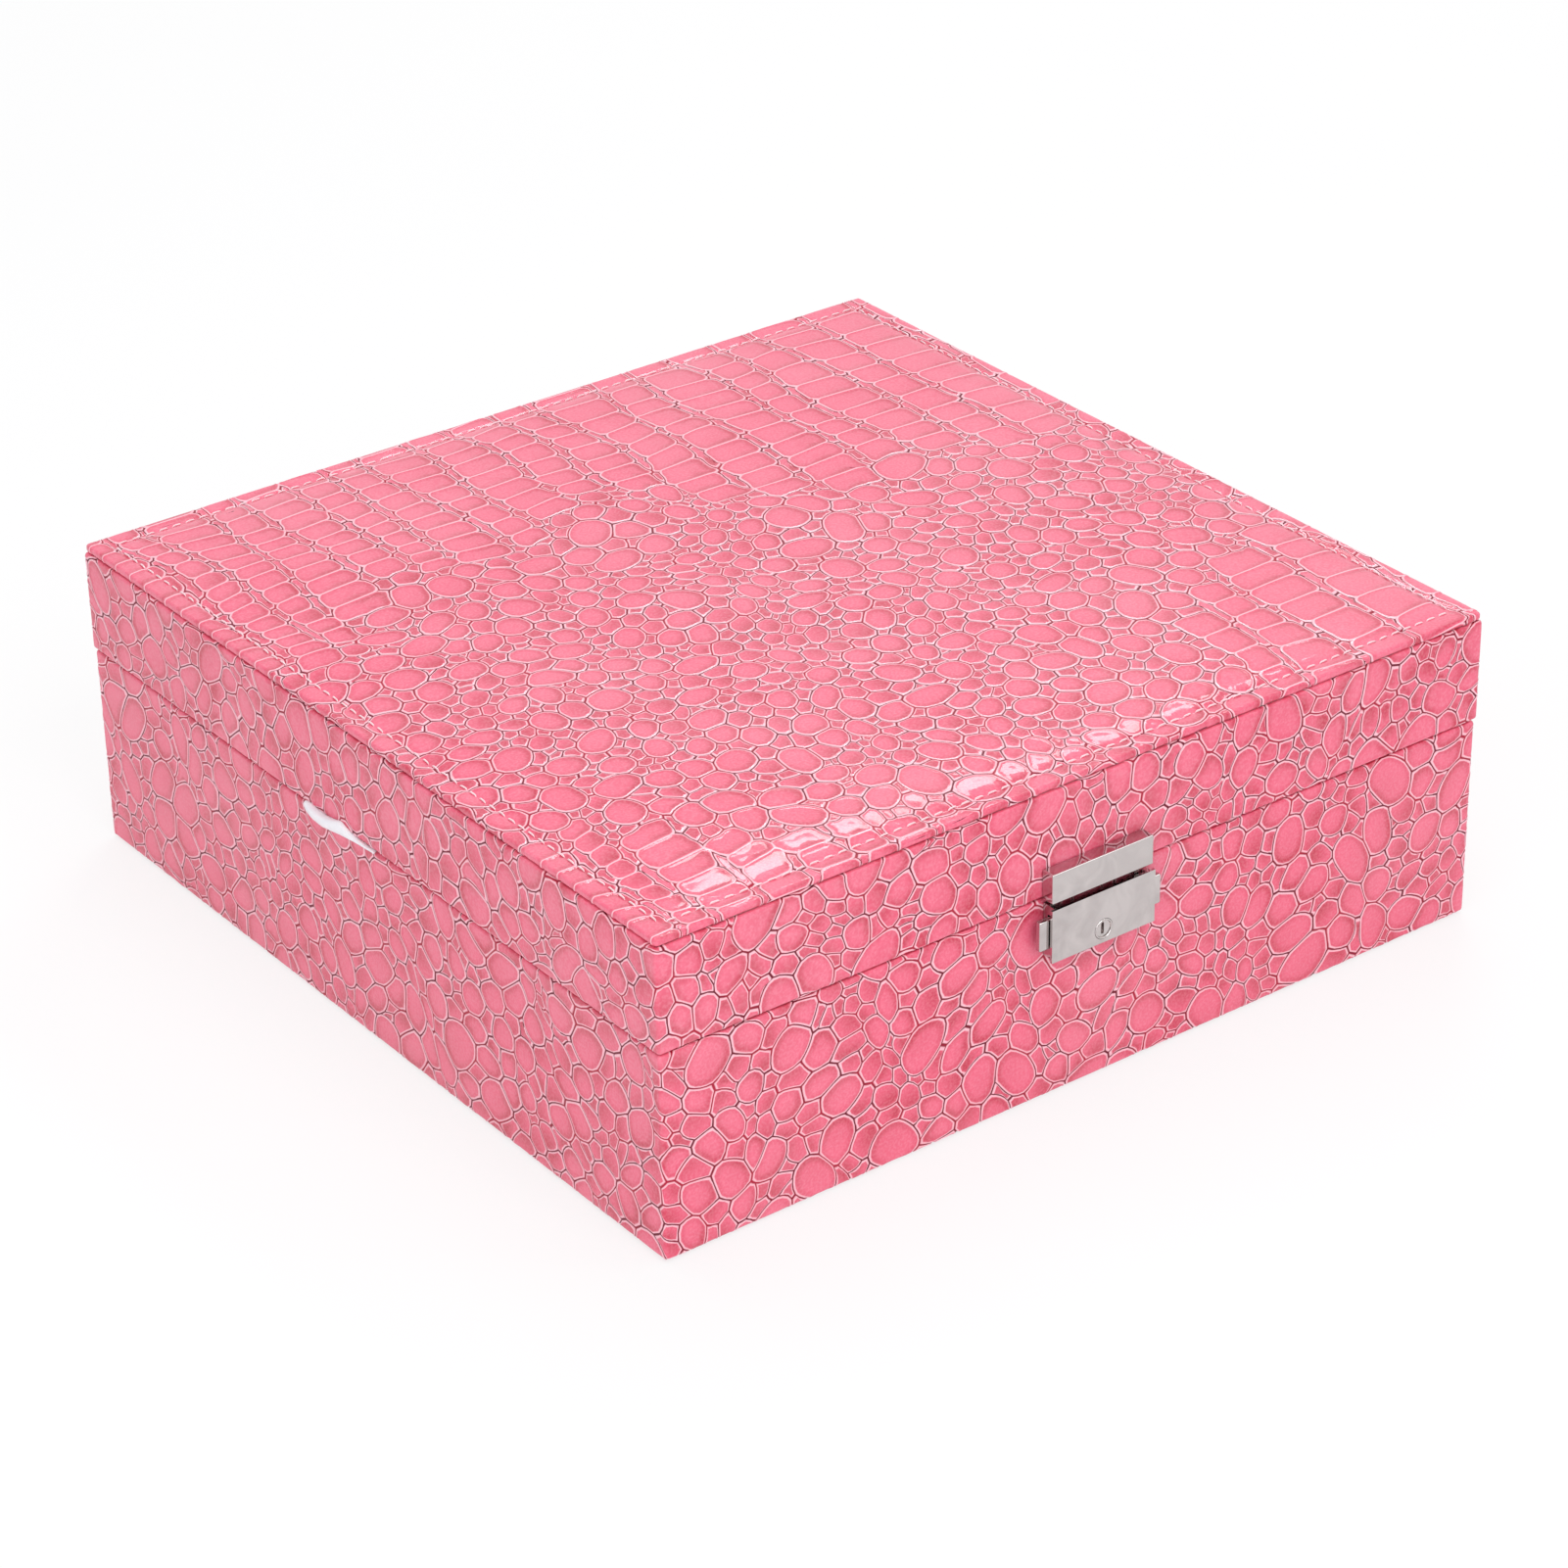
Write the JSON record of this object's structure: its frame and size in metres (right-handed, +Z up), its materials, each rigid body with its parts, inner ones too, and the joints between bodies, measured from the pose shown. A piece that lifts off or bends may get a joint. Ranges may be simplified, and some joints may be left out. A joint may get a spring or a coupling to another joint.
{
  "type": "jewellery case",
  "caption": "Square leather-covered jewellery case with a padded hinged lid, a side-button lock and a lined lift-out tray over divided compartments.",
  "frame": {"origin": "middle of the underside, on the surface that the case stands on", "axes": "+Z up, -Y towards the lock's side, +X to the right as seen from the lock"},
  "size_m": [0.262, 0.2719, 0.0912],
  "materials": {
    "embossed_leather": "glossy pink leatherette embossed with a crocodile grain",
    "chrome": "polished nickel-chrome plating",
    "plated_steel": "bright zinc plating",
    "fibreboard": "raw medium-density fibreboard",
    "card": "grey board",
    "foam": "soft foam",
    "velvet": "short-pile velvet lining",
    "felt": "pressed felt",
    "satin_ribbon": "white satin",
    "mirror": "silvered glass"
  },
  "bodies": {
    "base": {"base_front_board": "fibreboard", "base_rear_board": "fibreboard", "base_left_board": "fibreboard", "base_right_board": "fibreboard", "base_floor_board": "fibreboard", "base_leather_wrap": "embossed_leather", "base_felt": "felt", "base_front_liner": "velvet", "base_rear_liner": "velvet", "base_left_liner": "velvet", "base_right_liner": "velvet", "base_floor_pad": "velvet", "lower_long_divider": "velvet", "lower_cross_dividers": "velvet", "lock_case": "chrome", "lock_back_plate": "plated_steel", "lock_screws": "plated_steel", "left_button_spring": "plated_steel", "right_button_spring": "plated_steel", "left_hinge_base_leaf": "plated_steel", "right_hinge_base_leaf": "plated_steel", "left_hinge_pin": "plated_steel", "right_hinge_pin": "plated_steel", "hinge_base_screws": "plated_steel"},
    "lid": {"lid_front_board": "fibreboard", "lid_rear_board": "fibreboard", "lid_left_board": "fibreboard", "lid_right_board": "fibreboard", "lid_top_board": "fibreboard", "lid_leather_wrap": "embossed_leather", "top_panel_card": "card", "top_panel_foam": "foam", "top_panel_cover": "embossed_leather", "lid_front_liner": "velvet", "lid_rear_liner": "velvet", "lid_left_liner": "velvet", "lid_right_liner": "velvet", "lid_ceiling_pad": "velvet", "mirror": "mirror", "hasp_cover": "chrome", "hasp_tongue": "plated_steel", "hasp_screws": "plated_steel", "left_hinge_lid_leaf": "plated_steel", "right_hinge_lid_leaf": "plated_steel", "hinge_lid_screws": "plated_steel"},
    "tray": {"tray_floor": "velvet", "tray_front_wall": "velvet", "tray_rear_wall": "velvet", "tray_left_wall": "velvet", "tray_right_wall": "velvet", "tray_main_divider": "velvet", "tray_cross_dividers": "velvet", "ring_rolls": "velvet", "left_pull_tab": "satin_ribbon", "right_pull_tab": "satin_ribbon"},
    "left_button": {"left_button": "chrome"},
    "right_button": {"right_button": "chrome"},
    "key_barrel": {"key_barrel": "chrome", "lock_cam": "plated_steel"}
  },
  "joints": [
    {"name": "lid_hinge", "type": "hinge", "parent": "base", "child": "lid", "pos_m": [0, 0.1323, 0.05775], "axis": [-1, 0, 0], "range_deg": [0, 100]},
    {"name": "tray_lift", "type": "slide", "parent": "base", "child": "tray", "axis": [0, 0, 1], "range_m": [0, 0.02], "deforming": ["left_pull_tab"]},
    {"name": "left_button_press", "type": "slide", "parent": "base", "child": "left_button", "axis": [1, 0, 0], "range_m": [0, 0.002], "stiffness_N_per_m": 200, "deforming": ["left_button_spring"]},
    {"name": "right_button_press", "type": "slide", "parent": "base", "child": "right_button", "axis": [-1, 0, 0], "range_m": [0, 0.002], "stiffness_N_per_m": 200, "deforming": ["right_button_spring"]},
    {"name": "key_turn", "type": "hinge", "parent": "base", "child": "key_barrel", "pos_m": [0, -0.132, 0.0459], "axis": [0, 1, 0], "range_deg": [0, 90]}
  ]
}
